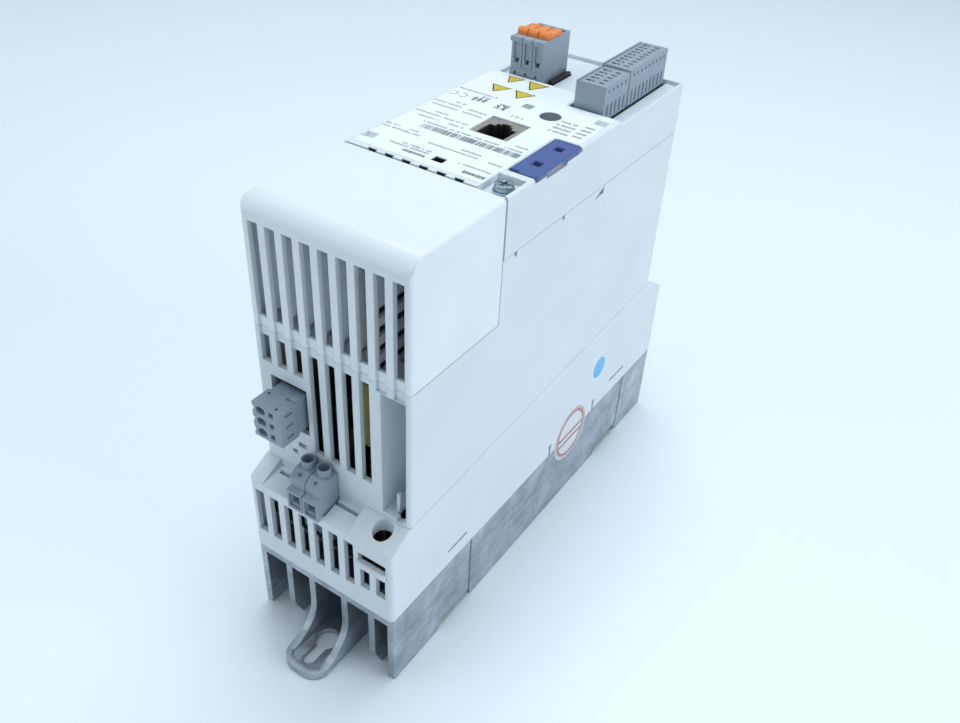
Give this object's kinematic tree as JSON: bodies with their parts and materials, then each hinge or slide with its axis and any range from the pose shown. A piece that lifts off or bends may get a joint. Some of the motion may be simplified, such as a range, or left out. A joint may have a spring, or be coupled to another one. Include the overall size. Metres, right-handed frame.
{
  "type": "book-form motor drive",
  "caption": "Slim book-form motor drive with a vented plastic housing, plug-in terminals and a finned aluminium heat sink with keyhole mounting lugs.",
  "frame": {"origin": "centre of the drive's footprint, on the plane of its mounting face", "axes": "+Z out of the mounting face towards the operating face, +Y from the line end to the motor end, +X to the right when the operating face is seen with the line end nearest the viewer"},
  "size_m": [0.0701, 0.262, 0.2086],
  "materials": {
    "cast_aluminium": "satin, as cast and machined",
    "shell_plastic": "fine textured",
    "cover_plastic": "fine textured",
    "label_white": "semi-gloss film",
    "label_seal": "semi-gloss film",
    "label_blue": "semi-gloss film",
    "module_blue": "satin",
    "window_dark": "gloss",
    "window_grey": "gloss",
    "light_pipe": "gloss",
    "jack_metal": "tin plated",
    "insert_black": "satin",
    "contact_gold": "bright",
    "connector_grey": "satin",
    "header_dark": "satin",
    "lever_orange": "satin",
    "zinc_steel": "zinc plated",
    "clamp_brass": "satin",
    "board_green": "solder resist",
    "capacitor_sleeve": "shrink sleeve",
    "film_olive": "moulded case",
    "core_dark": "matt",
    "copper_wire": "enamelled",
    "coil_tape": "tape",
    "pad_cream": "soft",
    "sheet_cream": "smooth"
  },
  "bodies": {
    "drive": {"heat_sink": "cast_aluminium", "lower_housing": "shell_plastic", "main_housing": "shell_plastic", "front_panel": "shell_plastic", "front_label": "label_white", "seal_label": "label_seal", "dot_label": "label_blue", "round_window": "window_dark", "square_window": "window_grey", "light_pipes": "light_pipe", "jack_shell": "jack_metal", "jack_insert": "insert_black", "jack_contacts": "contact_gold", "relay_header": "header_dark", "control_header": "header_dark", "lever_header": "header_dark", "mains_terminal": "connector_grey", "mains_cage_a": "clamp_brass", "mains_cage_b": "clamp_brass", "motor_terminal": "connector_grey", "panel_washer": "zinc_steel", "panel_nut": "clamp_brass", "earth_washer": "zinc_steel", "power_board": "board_green", "control_board": "board_green", "riser_board": "board_green", "relay_board": "board_green", "filter_board": "board_green", "board_spacers": "clamp_brass", "board_screws": "zinc_steel", "bulk_capacitors": "capacitor_sleeve", "choke_core": "core_dark", "choke_winding": "copper_wire", "choke_base": "header_dark", "film_capacitors": "film_olive", "relay": "header_dark", "transformer_core": "core_dark", "transformer_coil": "coil_tape", "power_module": "header_dark", "thermal_pad": "pad_cream", "module_screws": "zinc_steel", "insulating_sheet": "sheet_cream"},
    "cover": {"blind_cover": "cover_plastic"},
    "memory": {"memory_module": "module_blue"},
    "relay_connector": {"relay_plug": "connector_grey"},
    "five_pole_connector": {"five_pole_plug": "connector_grey"},
    "nine_pole_connector": {"nine_pole_plug": "connector_grey"},
    "lever_connector": {"lever_plug": "connector_grey"},
    "release_a": {"lever_a": "lever_orange"},
    "release_b": {"lever_b": "lever_orange"},
    "release_c": {"lever_c": "lever_orange"},
    "clamp_screw_a": {"mains_screw_a": "zinc_steel"},
    "clamp_screw_b": {"mains_screw_b": "zinc_steel"},
    "front_screw": {"panel_screw": "zinc_steel"},
    "ground_screw": {"earth_screw": "zinc_steel"}
  },
  "joints": [
    {"name": "cover_lift", "type": "slide", "parent": "drive", "child": "cover", "axis": [0, 0, 1], "range_m": [0, 0.06]},
    {"name": "memory_lift", "type": "slide", "parent": "drive", "child": "memory", "axis": [0, 0, 1], "range_m": [0, 0.03]},
    {"name": "relay_plug_pull", "type": "slide", "parent": "drive", "child": "relay_connector", "axis": [0, -1, 0], "range_m": [0, 0.03]},
    {"name": "five_pole_pull", "type": "slide", "parent": "drive", "child": "five_pole_connector", "axis": [0, 0, 1], "range_m": [0, 0.025]},
    {"name": "nine_pole_pull", "type": "slide", "parent": "drive", "child": "nine_pole_connector", "axis": [0, 0, 1], "range_m": [0, 0.025]},
    {"name": "lever_plug_pull", "type": "slide", "parent": "drive", "child": "lever_connector", "axis": [0, 0, 1], "range_m": [0, 0.03]},
    {"name": "release_press_a", "type": "slide", "parent": "lever_connector", "child": "release_a", "axis": [0, 0, -1], "range_m": [0, 0.0015], "stiffness_N_per_m": 400},
    {"name": "release_press_b", "type": "slide", "parent": "lever_connector", "child": "release_b", "axis": [0, 0, -1], "range_m": [0, 0.0015], "stiffness_N_per_m": 400},
    {"name": "release_press_c", "type": "slide", "parent": "lever_connector", "child": "release_c", "axis": [0, 0, -1], "range_m": [0, 0.0015], "stiffness_N_per_m": 400},
    {"name": "clamp_turn_a", "type": "hinge", "parent": "drive", "child": "clamp_screw_a", "pos_m": [-0.0096, -0.1039, 0.085], "axis": [0, 0, -1], "range_deg": [0, 1080]},
    {"name": "clamp_turn_b", "type": "hinge", "parent": "drive", "child": "clamp_screw_b", "pos_m": [-0.00198, -0.1039, 0.085], "axis": [0, 0, -1], "range_deg": [0, 1080]},
    {"name": "front_screw_turn", "type": "hinge", "parent": "drive", "child": "front_screw", "pos_m": [0.0289, -0.0409, 0.19], "axis": [0, 0, 1], "continuous": true},
    {"name": "ground_screw_turn", "type": "hinge", "parent": "drive", "child": "ground_screw", "pos_m": [0.0258, -0.1046, 0.042], "axis": [0, 0, 1], "continuous": true}
  ]
}
